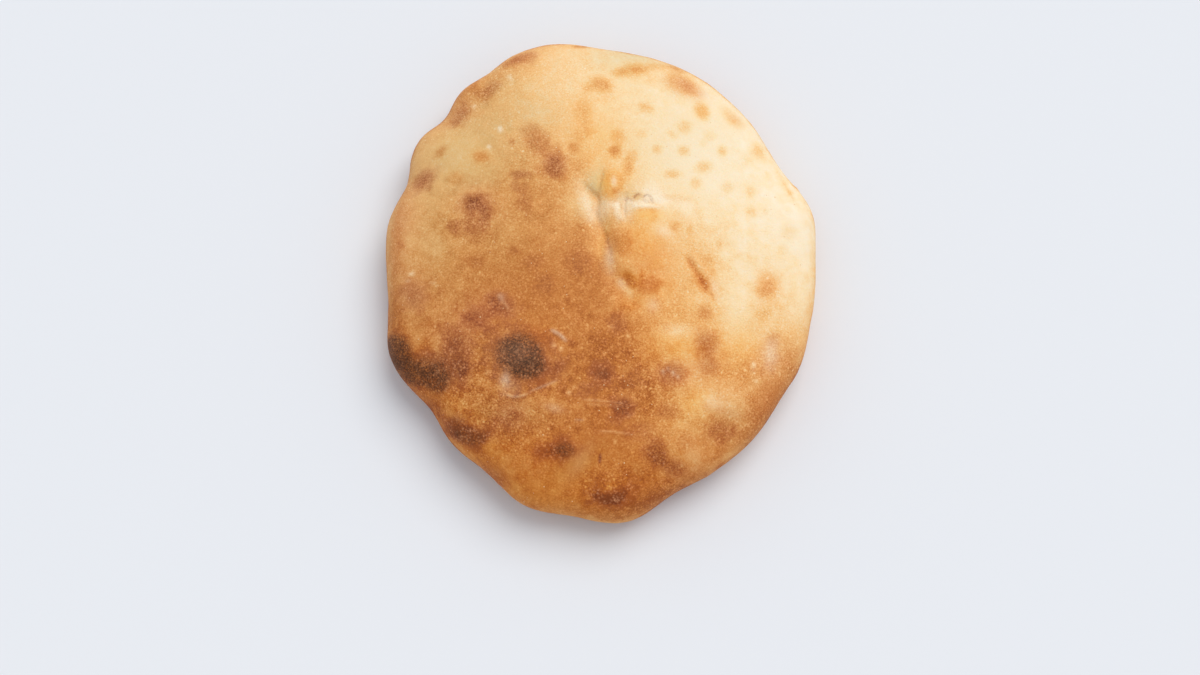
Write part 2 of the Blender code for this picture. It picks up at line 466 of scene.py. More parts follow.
# Browned spots: (place; toasting; scorching)
SPOTS = [
    # Upper left
    (523, 58, 6.4, 2.4, 16, 0.16, 0.36),
    (508, 64, 3.6, 1.8, 30, 0.12, 0.04),
    (473, 85, 3, 1.8, 40, 0.18, 0),
    (492, 88, 4.4, 2.8, 45, 0.06, 0.32),
    (483, 94, 3.5, 2.8, 0.12, 0.14),
    (461, 95, 4, 2.5, 55, 0.12, 0.06),
    (461, 114, 5, 3, 56, 0.08, 0.36),
    (453, 124, 3.2, 2.2, 0.08, 0.1),
    (536, 139, 7.4, 5, -50, 0.2, 0.28),
    (512, 142, 1.2, 1.8, 0.16, 0.2),
    (574, 147, 2.6, 2.2, 0.2, 0.02),
    (550, 150, 5, 4, 0.06, 0.06),
    (440, 151, 3.6, 1.6, 45, 0.16, 0.1),
    (481, 157, 3.8, 2.4, -5, 0.2, 0.04),
    (556, 165, 4.8, 4.6, 0.14, 0.62),
    (577, 168, 4, 3.6, 0.07, 0),
    (543, 170, 5, 3, 0.1, 0.1),
    (521, 174, 4.4, 2, 0.1, 0.44),
    (558, 176, 4, 2.2, 0.1, 0.04),
    (455, 178, 4.5, 3, 0.14, 0),
    (423, 181, 6.6, 3.6, 48, 0.1, 0.54),
    (515, 184, 2.2, 3.4, 0.06, 0.2),
    (523, 192, 3, 4.2, 0.1, 0.18),
    (478, 203, 5.8, 5.2, 20, 0.1, 0.56),
    (466, 205, 4.4, 4.6, 0.05, 0.26),
    (525, 206, 3.6, 3, 0.12, 0.14),
    (484, 216, 2.8, 4.8, 10, 0.06, 0.36),
    (397, 222, 3, 8, 0, 0.12),
    (454, 227, 3, 2.8, 0.2, 0.24),
    (470, 227, 6.6, 4.4, 0.12, 0.24),
    (401, 245, 1.4, 1.6, 0.1, 0.14),
    (515, 250, 3, 2.2, 0.12, 0.08),
    (473, 262, 5, 3.4, 0.12, 0.08),
    # Upper right
    (580, 46, 4, 1, 0.3, 0.1),
    (659, 66, 4, 1.6, -10, 0.12, 0),
    (676, 68, 4.4, 1.6, -20, 0.25, 0.06),
    (633, 70, 7.8, 2.6, 4, 0.28, 0.03),
    (617, 73, 3, 1.8, 10, 0.09, 0),
    (680, 83, 7.4, 4.6, -25, 0.25, 0.06),
    (602, 84, 5.2, 3.4, -18, 0.26, 0.02),
    (588, 88, 3, 1.8, 0.15, 0),
    (692, 90, 6, 3.4, -35, 0.16, 0.08),
    (646, 108, 3.6, 2.4, -15, 0.18, 0),
    (702, 111, 4, 2.8, -60, 0.32, 0),
    (583, 112, 3.6, 7, 0.14, 0),
    (729, 115, 5, 2.4, -45, 0.16, 0.02),
    (738, 122, 4, 2.2, -35, 0.12, 0.05),
    (684, 127, 3.6, 3, 0.19, 0.01),
    (590, 129, 3, 3, 0.07, 0),
    (641, 133, 3, 1.8, 0.1, 0),
    (581, 134, 3.4, 3.4, 0.1, 0),
    (672, 134, 3, 1.8, -40, 0.14, 0),
    (618, 136, 3.2, 3, 0.18, 0),
    (710, 136, 3, 2.4, 0.12, 0),
    (703, 143, 2, 1.8, 0.1, 0),
    (657, 149, 2.4, 2.2, 0.16, 0),
    (606, 150, 12, 11, 0.04, 0),
    (615, 151, 2.6, 2.6, 0.3, 0.06),
    (684, 151, 2.6, 2.4, 0.24, 0),
    (722, 151, 2.2, 2.4, 0.24, 0),
    (759, 152, 5, 2.6, -60, 0.23, 0),
    (632, 157, 2.4, 2.8, 0.14, 0),
    (748, 158, 2.4, 3.4, 0.1, 0),
    (704, 167, 4, 2.8, 0.24, 0),
    (628, 168, 2.8, 4, 0.22, 0),
    (673, 174, 3.8, 2, 0.2, 0),
    (696, 183, 2.4, 2.6, 0.2, 0),
    (728, 187, 2.6, 2.4, 0.16, 0.04),
    (751, 192, 2.2, 2.8, 0.16, 0),
    (790, 194, 2.5, 1.4, -45, 0.12, 0),
    (676, 199, 8, 1.8, 0.1, 0),
    (751, 211, 2.4, 3.2, 30, 0.16, 0.02),
    (765, 211, 1.1, 1.5, 0.12, 0.05),
    # Round the crease
    (604, 180, 2, 2.4, 0.04, 0),
    (612, 183, 6.6, 6.4, 0.02, 0),
    (621, 183, 1.8, 3.4, 0.16, 0),
    (616, 190, 2.4, 1.4, 30, 0.18, 0),
    (609, 193, 4, 2.4, 0.04, 0),
    (654, 214, 1.8, 3.2, 0.14, 0),
    (641, 222, 4.4, 5, 0.08, 0),
    (675, 227, 2.6, 2.4, 0.16, 0),
    (690, 231, 1.3, 2.6, 0.12, 0),
    (789, 232, 3.6, 3.4, 0.1, 0.04),
    (619, 240, 4.4, 7, 0.12, 0.02),
    (719, 243, 1.5, 2.8, 0.16, 0),
    (652, 250, 8, 8, 0.06, 0),
    (782, 250, 2.6, 2.2, 0.14, 0),
    (577, 257, 6, 6, 0.1, 0.08),
    (745, 257, 2.2, 2, 0.1, 0),
    (534, 262, 5, 4, 0.1, 0.08),
    (590, 266, 7, 6, 0.08, 0.06),
    (700, 266, 8, 8, 0.12, 0.02),
    (629, 279, 3.6, 2.2, -72, 0.24, 0),
    (704, 284, 4.2, 2.4, -58, 0.2, 0.1),
    (545, 285, 4.6, 4.6, 0.12, 0.08),
    (650, 285, 5, 4, 10, 0.22, 0.16),
    (768, 285, 4.4, 5.6, 0.2, 0),
    (762, 291, 3.4, 2.4, 0.12, 0),
    (630, 305, 4.4, 3.4, 0.05, 0),
    (705, 312, 3.2, 3.4, 0.16, 0.12),
    (762, 314, 3, 3, 0.1, 0),
    (617, 322, 4, 4.2, 0.18, 0.2),
    (716, 333, 2.4, 1.8, 0.12, 0.02),
    (773, 339, 3.2, 3.4, 0.12, 0.2),
    (707, 344, 4.8, 5.8, 10, 0.12, 0.42),
    (709, 366, 4.4, 3.6, 0.06, 0.32),
    # Left
    (413, 296, 5.4, 6.8, 10, 0, 0.46),
    (489, 299, 3, 2.8, 0.06, 0.14),
    (501, 305, 6.8, 4.8, -35, 0.06, 0.62),
    (476, 318, 5.6, 4.8, 0.02, 0.58),
    (452, 336, 7, 6, 0.06, 0.24),
    (458, 352, 6.4, 9, 0.06, 0.46),
    (521, 356, 13.4, 12.4, 0.14, 0.5),
    (429, 360, 7.6, 3.8, 0.04, 0.44),
    (552, 368, 6.4, 5, 0.14, 0.4),
    (446, 372, 8, 7, 0.1, 0.38),
    (463, 373, 4, 5, 0.1, 0.44),
    (512, 402, 5.6, 4.4, 0, 0.22),
    (507, 418, 6.6, 4.8, 0, 0.36),
    (454, 427, 5.4, 5, 0.1, 0.6),
    (483, 433, 5.4, 3.6, 0.1, 0.44),
    (467, 437, 8, 4, -5, 0.1, 0.62),
    (475, 449, 5, 2.4, -15, 0.24, 0.1),
    (493, 476, 7, 4, -38, 0.16, 0.44),
    # Bottom
    (602, 373, 4.8, 4.2, 0.2, 0.8),
    (671, 373, 5.6, 4.8, 0.04, 0.52),
    (635, 378, 7, 6, 0.08, 0.1),
    (612, 386, 4, 3, 0.02, 0.06),
    (588, 389, 5, 3.6, 10, 0.06, 0.2),
    (623, 406, 5.2, 4.6, 0.12, 0.68),
    (668, 411, 5, 3.6, 0.1, 0.2),
    (728, 415, 7, 2.6, 0, 0.12),
    (616, 417, 4, 3.6, 0.1, 0.24),
    (640, 432, 7, 4, 0.06, 0.22),
    (721, 432, 7, 4.6, 5, 0.1, 0.34),
    (687, 441, 4, 3.6, 0.06, 0.12),
    (563, 449, 6.2, 4.8, 0.14, 0.66),
    (545, 452, 6.6, 3.6, 0.18, 0.5),
    (655, 452, 5.4, 5.4, 0.1, 0.66),
    (671, 467, 6.4, 4, -25, 0.12, 0.54),
    (692, 470, 5, 3, 0.04, 0.06),
    (606, 478, 6, 3, 0.04, 0.12),
    (594, 491, 2.8, 4, 0.06, 0.36),
    (622, 494, 6.8, 3.2, 38, 0.08, 0.54),
    (604, 498, 6.6, 3.4, -8, 0.1, 0.56),
    (613, 500, 5, 2.6, 0.04, 0.24),
]

# Charred spots: (place; charring)
CHARS = [
    (520, 343, 8, 5, 0.28),
    (394, 351, 6, 7.8, 15, 0.8),
    (504, 353, 4, 6.4, 0.2),
    (448, 356, 7, 7, 0.1),
    (519, 356, 11.4, 10.6, 0.56),
    (537, 358, 4, 6, 0.2),
    (433, 359, 7, 4, -8, 0.14),
    (418, 363, 6.4, 4, -20, 0.24),
    (527, 368, 8, 4.8, 0.58),
    (404, 373, 9, 5, -40, 0.6),
    (423, 373, 9, 7, -10, 0.3),
    (602, 374, 3.4, 3, 0.3),
    (437, 379, 7, 7, 0.6),
    (454, 427, 5, 5, 0.3),
    (470, 438, 8, 4, -5, 0.46),
    (564, 450, 5, 3.8, 0.5),
    (610, 498, 7, 2.2, 8, 0.2),
]

# Pale, floury places, on the crease's bank partly painted highlight: (place; share of flour)
FLOUR_AND_HIGHLIGHT_PATCHES = [
    (720, 178, 14, 8, 0.12),
    (614, 182, 1.2, 2.2, 0.55),
    (652, 191, 4.6, 4, 0.8),
    (581, 198, 5.4, 3, -80, 0.1),
    (658, 200, 4.4, 2.6, 0.5),
    # The crease's bank: partly floury dough, partly a painted highlight where it faces the light
    (587, 203, 7.6, 2.4, -74, 0.46),
    (629, 203, 3, 2.4, 0.36),
    (641, 203, 4.6, 1.7, 0.55),
    (670, 203, 6, 2.4, 0.4),
    (614, 204, 2.4, 1.4, 0.4),
    (606, 206, 3.6, 3, 0.3),
    (618, 208, 4.4, 1.4, 88, 0.7),
    (624, 208, 1.2, 5, 0.35),
    (600, 209, 2, 5, 0.2),
    (688, 209, 3, 5, 30, 0.45),
    (629, 212, 2.4, 4, 0.3),
    (608, 213, 2.4, 2.6, 0.12),
    (592, 214, 3, 1.8, -80, 0.18),
    (622, 218, 1.6, 1.2, -40, 0.15),
    (664, 231, 3.4, 2.2, -20, 0.4),
    (738, 236, 12, 8, -30, 0.12),
    (610, 259, 2.2, 5.4, 0.3),
    (622, 284, 2.4, 1.8, -45, 0.16),
    (715, 288, 1.4, 3.6, 20, 0.34),
    (501, 297, 1.4, 1.6, 0.14),
    (653, 305, 2.6, 3, 0.2),
    (676, 330, 5.8, 2.6, 0.2),
    (520, 352, 7.5, 5, 0.04),
    (770, 353, 3, 5.6, 0.42),
    (753, 368, 0.9, 2.4, 0.12),
    (505, 380, 2, 3.2, -15, 0.35),
    (511, 388, 4, 3, 0.09),
    (712, 403, 4.4, 2.6, 0.25),
    (554, 408, 3.6, 1.6, -15, 0.16),
    (580, 461, 8, 3, 58, 0.05),
]
# Small pale flecks: (x, y in pixels; half width mm; how much less baked; share of flour)
FLECKS = [
    (510, 78, 0.9, 0.16, 0.34),
    (474, 106, 0.9, 0.22, 0.26),
    (500, 129, 0.9, 0.2, 0.75),
    (489, 147, 0.8, 0.16, 0.5),
    (411, 274, 0.8, 0.26, 0.3),
    (409, 281, 0.6, 0.2, 0.2),
    (433, 283, 0.7, 0.22, 0.14),
    (437, 286, 0.5, 0.2, 0.1),
    (612, 327, 0.8, 0.3, 0.06),
    (628, 336, 0.8, 0.32, 0.1),
    (554, 345, 1, 0.34, 0.14),
    (561, 349, 0.9, 0.34, 0.12),
    (754, 365, 0.9, 0.3, 0.3),
    (668, 369, 0.6, 0.22, 0.28),
    (488, 372, 1, 0.26, 0.06),
    (663, 372, 0.7, 0.26, 0.34),
    (673, 373, 0.7, 0.26, 0.36),
    (678, 377, 0.6, 0.22, 0.26),
    (756, 381, 0.8, 0.26, 0.2),
    (574, 388, 0.5, 0.26, 0.08),
    (569, 393, 0.8, 0.34, 0.16),
    (708, 400, 0.9, 0.12, 0.14),
    (629, 415, 0.6, 0.38, 0.12),
    (615, 441, 0.6, 0.34, 0.08),
]

# Patches on the sides that the photo doesn't show, and on the underside: (field; width mm; values of a
# noise from -1 to 1 at which they begin and are full; strength)
SIDE_PATCHES = [
    ("bake_and_shading", 26, -0.30, 0.40, 0.18),
    ("bake_and_shading", 9, 0.05, 0.40, 0.24),
    ("scorch_and_shade", 10, 0.12, 0.55, 0.24),
    ("orange", 30, -0.30, 0.40, 0.45),
    ("flour_and_highlight", 7, 0.25, 0.60, 0.07),
]
UNDERSIDE_PATCHES = [
    ("bake_and_shading", 40, -0.70, 0.10, 0.26),
    ("bake_and_shading", 14, 0.00, 0.35, 0.22),
    ("scorch_and_shade", 16, 0.06, 0.44, 0.34),
    ("scorch_and_shade", 7, 0.20, 0.58, 0.20),
    ("char", 12, 0.28, 0.55, 0.30),
    ("flour_and_highlight", 18, 0.05, 0.65, 0.07),
    ("flour_and_highlight", 3, 0.15, 0.60, 0.08),
]
UNDERSIDE_BASE = {"bake_and_shading": 0.58, "grain": GRAIN_STRENGTH}  # what its patches lie on
# Pits of the underside: (width mm; noise at which they begin and are full; depth mm)
UNDERSIDE_PITS = [(20, 0.00, 0.50, 0.45), (5, 0.15, 0.45, 0.30)]
# How squarely a place faces the camera: unseen up to the first value, and seen from the second on
SEEN_FACING = (0.0, 0.35)
# How squarely a place faces down: a side up to the first value, and the underside from the second on
UNDERSIDE_FACING = (0.5, 0.95)

# Grains of semolina that stick to the crust
SEMOLINA_COUNT = 380
SEMOLINA_HALVES = (0.14, 0.30)  # half their width in mm, from the least to the most
SEMOLINA_STRETCH = (0.8, 1.3)  # their length and their width, against their height
SEMOLINA_JITTER = 0.25  # share of its size by which a grain's corners are off
SEMOLINA_SINK = 0.35  # share of the half width by which a grain's middle lies under the crust
SEMOLINA_PATCHES = (24, -0.25, 0.35)  # (width mm; noise at which they begin and are full)

# How zones and spots fade
ZONE_SLOPE = 0.9
SPOT_FADE = (0.30, 1.60)  # a spot's reach where it starts to fade, and where it ends
CHAR_FADE = (0.45, 1.35)
CHAR_GAIN = 1.6
MOST_CHAR = 0.80  # what many overlapping charred spots come near to
MOST_FIELD = 1.6  # where overlapping zones and spots are cut off
LINE_TAPER = 0.3  # share of a line's length over which it fades in and out
RELIEF_START = (0.5 * MM, 6 * MM)  # levels between which the relief fades in
EDGE_WOBBLES = [(5.0, 0.24), (2.2, 0.18)]  # of a spot's outline: (width mm, share of its size)
CHAR_WOBBLE = 1 / 3  # share of that wobble in a charred spot

# How a place in the picture lands on the crust
LEAST_FACING = 0.45  # over crust that faces the camera less than this, a place is drawn out no further
SPOT_DEPTH = 8 * MM  # how far a spot reaches through the crust's own curve
EDGE_LEVEL = 16 * MM  # of the bread's edge, for a pixel just beside it


def srgb(red, green, blue):
    """A colour from 0 to 255, as a screen shows it, in the linear values that shaders take."""
    shares = [value / 255 for value in (red, green, blue)]
    linear = [s / 12.92 if s <= 0.04045 else ((s + 0.055) / 1.055) ** 2.4 for s in shares]
    return (*linear, 1)


# Colours of the crust by how far it is baked, scorched and charred; they also paint the shade and
# highlights that the fields hold in places
BAKE_COLOURS = [
    (0.0, srgb(246, 231, 205)),
    (0.2, srgb(245, 217, 172)),
    (0.4, srgb(240, 190, 126)),
    (0.6, srgb(222, 156, 89)),
    (0.8, srgb(196, 121, 57)),
    (1.0, srgb(162, 89, 37)),
]
SCORCH_COLOURS = [
    (0.0, srgb(202, 134, 92)),
    (0.5, srgb(168, 97, 57)),
    (1.0, srgb(122, 62, 34)),
]
CHAR_COLOURS = [
    (0.0, srgb(176, 104, 57)),
    (0.30, srgb(146, 85, 50)),
    (0.55, srgb(113, 68, 42)),
    (0.85, srgb(76, 48, 31)),
]
FLOUR_COLOUR = srgb(247, 228, 198)
TINTS = {
    "orange": srgb(255, 230, 176),
    "olive": srgb(234, 238, 234),
    "rose": srgb(250, 234, 244),
}
SPECKLE_COLOUR = srgb(250, 174, 122)
SEMOLINA_DARK = srgb(226, 176, 120)
SEMOLINA_LIGHT = srgb(252, 226, 182)

# What is the same all over a surface
CRUST_FINISH = {
    "Roughness": 0.6,
    "Specular IOR Level": 0.15,
    "Subsurface Weight": 0.05,  # share of the light that enters the crust, and leaves it a little way off
    "Subsurface Radius": (4 * MM, 2 * MM, 1 * MM),  # that way in red, green and blue
    "Subsurface Scale": 1,
}
SEMOLINA_FINISH = {"Roughness": 0.6}
FLOOR_FINISH = {"Roughness": 0.8, "Base Color": srgb(228, 231, 237)}

# Texture of the crust
GRAIN_WIDTH = 0.7 * MM
GRAIN_HEIGHT = 0.5 * MM
GRAIN_SHARE = 0.62  # of the baking that a grain takes or gives
BLOTCH_WIDTH = 6 * MM
BLOTCH_SHARE = 0.20
UNEVENNESS = (1.1, 0.02)  # of the texture's colours: their growth with baking, and what unbaked dough has
GRAIN_RELIEF = (0.6, 0.4)  # the same for its relief
SPECKLE_SHARE = 0.20  # of the baking that a light speckle takes
SPECKLES_OF_BAKE = (0.36, -0.13)  # how strong speckles show by baking, as growth and start
SPECKLES_OF_SCORCH = 0.25
DOT_SHARE = 0.24  # of the baking that a pale dot takes
SCORCH_RIPPLE = 2.6  # how far the texture breaks scorched, charred and floury places up
CHAR_RIPPLE = 3.0
FLOUR_RIPPLE = -2.0
SCORCH_FULL = 0.9  # from this much scorching or charring on, the baked colour is hidden
CHAR_FULL = 0.6

# Dots in irregular cells: the cells' width, and a dot's share of its cell from its middle to its edge. A
# noise makes some strong and leaves others out: its scale against the cells' own, its detail, and its
# values at which dots begin and are full
SPECKLES = {"width": 1.2 * MM, "reach": (0.10, 0.60), "scale": 0.5, "detail": 1, "cover": (0.35, 0.65)}
PALE_DOTS = {"width": 2.6 * MM, "reach": (0.12, 0.30), "scale": 0.3, "detail": 2, "cover": (0.50, 0.64)}


def smoothstep(start, end, values):
    share = np.clip((values - start) / (end - start), 0, 1)
    return share * share * (3 - 2 * share)


def bell(reach):
    """1 at reach 0, about 0.4 at 1 and nearly 0 from 2 on."""
    return np.exp(-ZONE_SLOPE * reach * reach)


def spot_fade(reach, start, end):
    """1 within a spot and 0 outside it."""
    return 1 - smoothstep(start, end, reach)


def noise_field(points, width, seed):
    """Smooth noise from about -1 to 1 at each point, with bumps as wide as given, in mm."""
    shift = np.array(NOISE_SHIFT) * seed
    return np.array([noise.noise(place) for place in (points / (width * MM) + shift).tolist()])


def patches(points, width, start, end, seed):
    """1 in patches where such a noise is above end, and 0 where it is below start."""
    return smoothstep(start, end, noise_field(points, width, seed))


def add_object(name, data):
    made = bpy.data.objects.new(name, data)
    bpy.context.scene.collection.objects.link(made)
    return made


def mesh_of(bm, name):
    mesh = bpy.data.meshes.new(name)
    bm.to_mesh(mesh)
    bm.free()
    return mesh


def values_of(items, name, width=1, kind=float):
    """An attribute of many items as an array, in rows where it is more than one number wide."""
    values = np.empty(len(items) * width, kind)
    items.foreach_get(name, values)
    return values.reshape(-1, width) if width > 1 else values


def add_camera():
    """Looks at the bread from the photo's angle, turned so that the bread shows at BREAD_PIXEL."""
    data = bpy.data.cameras.new("camera")
    data.sensor_width = SENSOR_WIDTH
    data.lens = SENSOR_WIDTH * CAMERA_DISTANCE / (PHOTO_WIDTH * PIXEL_SIZE)
    camera = add_object("camera", data)
    bpy.context.scene.camera = camera
    camera.rotation_mode = "QUATERNION"
    away = Vector((0, -math.cos(CAMERA_ELEVATION), math.sin(CAMERA_ELEVATION)))
    camera.location = away * CAMERA_DISTANCE
    level = (-away).to_track_quat("-Z", "Y")
    turn = pixel_direction(*BREAD_PIXEL).rotation_difference(Vector((0, 0, -1)))
    camera.rotation_quaternion = level @ turn
    bpy.context.view_layer.update()
    return camera


def pixel_direction(x, y):
    """The direction of a photo pixel in the camera's own axes."""
    focal = CAMERA_DISTANCE / PIXEL_SIZE
    return Vector(((x - PHOTO_WIDTH / 2) / focal, (PHOTO_HEIGHT / 2 - y) / focal, -1)).normalized()


class Surface:
    """The smooth crust, on which places are found by photo pixel."""

    def __init__(self, bm, camera):
        self.tree = BVHTree.FromBMesh(bm)
        self.eye = camera.location.copy()
        self.turn = camera.rotation_quaternion.copy()
        self.right = self.turn @ Vector((1, 0, 0))
        self.up = self.turn @ Vector((0, 1, 0))

    def seen(self, x, y):
        """The point under a photo pixel, or the nearest to it, its outward normal and the line of sight."""
        sight = self.turn @ pixel_direction(x, y)
        point, normal, _, _ = self.tree.ray_cast(self.eye, sight)
        if point is None:
            beside = self.eye + sight * ((EDGE_LEVEL - self.eye.z) / sight.z)
            point, normal, _, _ = self.tree.find_nearest(beside)
        return point, normal, sight

    def path(self, pixels):
        """Points on the crust along a smooth curve through photo pixels."""
        places = []
        ends = [pixels[0], *pixels, pixels[-1]]
        for before, start, end, after in zip(ends, ends[1:], ends[2:], ends[3:]):
            steps = max(1, round(math.dist(start, end) / PATH_STEP))
            for number in range(steps):
                places.append(catmull_rom(before, start, end, after, number / steps))
        places.append(pixels[-1])
        return np.array([self.seen(x, y)[0] for x, y in places])

    def reach(self, points, x, y, half_length, half_width, tilt=0):
        """How far each point is from a spot's middle, where 1 is the spot's edge as the camera sees it."""
        middle, normal, sight = self.seen(x, y)
        slant = min(normal.dot(sight), -LEAST_FACING)
        axes = []
        for angle, half in ((tilt, half_length), (tilt + 90, half_width)):
            flat = self.right * math.cos(math.radians(angle)) + self.up * math.sin(math.radians(angle))
            lying = flat - sight * (flat.dot(normal) / slant)
            lying -= normal * lying.dot(normal)
            axes.append(lying * half * MM)
        depth = max(SPOT_DEPTH, max(half_length, half_width) * MM)
        shape = Matrix((*axes, normal * depth)).transposed()
        local = (points - np.array(middle)) @ np.array(shape.inverted()).T
        return np.linalg.norm(local, axis=1)


def catmull_rom(before, start, end, after, share):
    place = []
    for a, b, c, d in zip(before, start, end, after):
        curve = 2 * a - 5 * b + 4 * c - d
        place.append(b + 0.5 * share * (c - a + share * (curve + share * (3 * (b - c) + d - a))))
    return place


def path_distance(points, path):
    """Each point's distance from a path of points, and how far along the path it is, from 0 to 1."""
    nearest = np.full(len(points), np.inf)
    along = np.zeros(len(points))
    for number, (start, end) in enumerate(zip(path, path[1:])):
        step = end - start
        share = np.clip((points - start) @ step / max(step @ step, WELD * WELD), 0, 1)
        distance = np.linalg.norm(points - start - share[:, None] * step, axis=1)
        nearer = distance < nearest
        nearest[nearer] = distance[nearer]
        along[nearer] = (number + share[nearer]) / (len(path) - 1)
    return nearest, along


def fine_crust():
    """The CAD solid's form without its foot, in quads a millimetre wide, as a bmesh."""
    bm = bmesh.new()
    bm.from_mesh(frame["nodes"]["lepinja"].data)
    bmesh.ops.remove_doubles(bm, verts=bm.verts, dist=WELD)
    foot = [face for face in bm.faces if all(vert.co.z < FOOT_LEVEL for vert in face.verts)]
    bmesh.ops.delete(bm, geom=foot, context="FACES")
    any_angle = {"angle_face_threshold": math.pi, "angle_shape_threshold": math.pi}
    bmesh.ops.join_triangles(bm, faces=bm.faces, **any_angle)
    mesh = mesh_of(bm, "crust_cage")
    cage = add_object("crust_cage", mesh)
    smooth = cage.modifiers.new("smooth", "SUBSURF")
    smooth.levels = FINE_LEVELS
    smooth.render_levels = FINE_LEVELS
    fine = bpy.data.meshes.new_from_object(cage.evaluated_get(bpy.context.evaluated_depsgraph_get()))
    bm = bmesh.new()
    bm.from_mesh(fine)
    bpy.data.batch_remove((cage, mesh, fine))
    return bm


def close_underside(bm):
    """Fills the open foot with a flat net of small triangles."""
    rim_edges = [edge for edge in bm.edges if edge.is_boundary]
    rim = list(dict.fromkeys(vert for edge in rim_edges for vert in edge.verts))
    for vert in rim:
        vert.co.z = 0
    number = {vert: place for place, vert in enumerate(rim)}
    outline = [(number[edge.verts[0]], number[edge.verts[1]]) for edge in rim_edges]
    flat = [vert.co.xy for vert in rim]
    inner = net_points(np.array(flat))
    inside_only = 1
    net = geometry.delaunay_2d_cdt(flat + inner, outline, [], inside_only, WELD)
    coords, _, faces, origins, _, _ = net
    verts = []
    for place, origin in zip(coords, origins):
        on_rim = [source for source in origin if source < len(rim)]
        verts.append(rim[on_rim[0]] if on_rim else bm.verts.new((*place, 0)))
    for face in faces:
        bm.faces.new([verts[corner] for corner in face])
    bmesh.ops.recalc_face_normals(bm, faces=bm.faces)


def net_points(rim):
    """Points of a triangular net inside the rim, and a little off it."""
    order = np.argsort(np.arctan2(rim[:, 1], rim[:, 0]))
    bearings = np.arctan2(rim[order, 1], rim[order, 0])
    radii = np.linalg.norm(rim[order], axis=1)
    row_step = UNDERSIDE_STEP * math.sqrt(3) / 2
    rows = math.ceil(radii.max() / row_step)
    places = []
    for row in range(-rows, rows + 1):
        for column in range(-rows, rows + 1):
            x = (column + row % 2 / 2) * UNDERSIDE_STEP
            y = row * row_step
            edge = np.interp(math.atan2(y, x), bearings, radii, period=2 * math.pi)
            if math.hypot(x, y) < edge - UNDERSIDE_STEP / 2:
                places.append(Vector((x, y)))
    return places


def split_near_lines(bm, paths):
    """Halves the faces round the creases and the other lines."""
    bm.verts.ensure_lookup_table()
    points = np.array([vert.co for vert in bm.verts])
    near = np.zeros(len(points), bool)
    for path in paths:
        near |= path_distance(points, path)[0] < SPLIT_REACH
    edges = [edge for edge in bm.edges if near[edge.verts[0].index] or near[edge.verts[1].index]]
    bmesh.ops.subdivide_edges(bm, edges=edges, cuts=1, use_grid_fill=True)


def crust_relief(points, surface, wobble):
    """How far the waves and blisters raise each point of the top along its normal, in metres."""
    height = np.zeros(len(points))
    for seed, (width, size) in enumerate(CRUST_WAVES, WAVE_SEED):
        height += size * MM * noise_field(points, width, seed)
    for *place, size in BLISTERS:
        height += size * MM * bell(surface.reach(points, *place) * wobble)
    return height


def crust_fields(points, normals, surface, wobble):
    """What the crust's material reads at each point, all from 0 to about 1."""
    fields = {name: np.zeros(len(points)) for name in FIELD_NAMES}
    fields["bake_and_shading"] += BASE_BAKE
    fields["grain"] += GRAIN_STRENGTH
    for name, zones in (
        ("bake_and_shading", BAKE_AND_SHADING_ZONES),
        ("grain", GRAIN_ZONES),
        ("orange", ORANGE_ZONES),
        ("olive", OLIVE_ZONES),
        ("rose", ROSE_ZONES),
        ("flour_and_highlight", FLOUR_AND_HIGHLIGHT_PATCHES),
    ):
        for *place, strength in zones:
            fields[name] += strength * bell(surface.reach(points, *place) * wobble)
    for x, y, half_width, paling, floured in FLECKS:
        fade = bell(surface.reach(points, x, y, half_width, half_width) * wobble)
        fields["bake_and_shading"] -= paling * fade
        fields["flour_and_highlight"] += floured * fade
    for *place, toasting, scorching in SPOTS:
        fade = spot_fade(surface.reach(points, *place) * wobble, *SPOT_FADE)
        fields["bake_and_shading"] += toasting * fade
        fields["scorch_and_shade"] += scorching * fade
    char_wobble = 1 + CHAR_WOBBLE * (wobble - 1)
    for *place, charring in CHARS:
        fields["char"] += charring * spot_fade(surface.reach(points, *place) * char_wobble, *CHAR_FADE)
    add_unseen_patches(points, normals, surface, fields)
    fields["char"] = MOST_CHAR * (1 - np.exp(-CHAR_GAIN * fields["char"]))
    return fields


def add_unseen_patches(points, normals, surface, fields):
    """Bakes the sides and the underside, which the photo doesn't show, as unevenly as what shows."""
    towards_eye = np.array(surface.eye) - points
    facing = (normals * towards_eye).sum(axis=1) / np.linalg.norm(towards_eye, axis=1)
    underside = smoothstep(*UNDERSIDE_FACING, -normals[:, 2])
    side = (1 - smoothstep(*SEEN_FACING, facing)) * (1 - underside)
    for name in FIELD_NAMES:
        fields[name] += underside * (UNDERSIDE_BASE.get(name, 0) - fields[name])
    for share, kinds, first_seed in (
        (side, SIDE_PATCHES, SIDE_SEED),
        (underside, UNDERSIDE_PATCHES, UNDERSIDE_SEED),
    ):
        for seed, (name, width, start, end, strength) in enumerate(kinds, first_seed):
            fields[name] += strength * share * patches(points, width, start, end, seed)


def underside_pits(points):
    """How far above the table each point of the underside stays."""
    depth = np.zeros(len(points))
    for seed, (width, start, end, size) in enumerate(UNDERSIDE_PITS, PIT_SEED):
        depth += size * MM * patches(points, width, start, end, seed)
    return np.where(points[:, 2] < FOOT_LEVEL, depth, 0)


def add_lines(points, paths, height, fields):
    """Adds the creases and thin marks to the relief and to the fields, with painted shade in some grooves
    and a painted highlight on some wrinkles.
    """
    for path, (_, half_width, size, toasting, scorching, floured) in zip(paths, LINES):
        distance, along = path_distance(points, path)
        ends = smoothstep(0, LINE_TAPER, along) * smoothstep(0, LINE_TAPER, 1 - along)
        fade = bell(distance / (half_width * MM)) * ends
        height += size * MM * fade
        fields["bake_and_shading"] += toasting * fade
        fields["scorch_and_shade"] += scorching * fade
        fields["flour_and_highlight"] += floured * fade


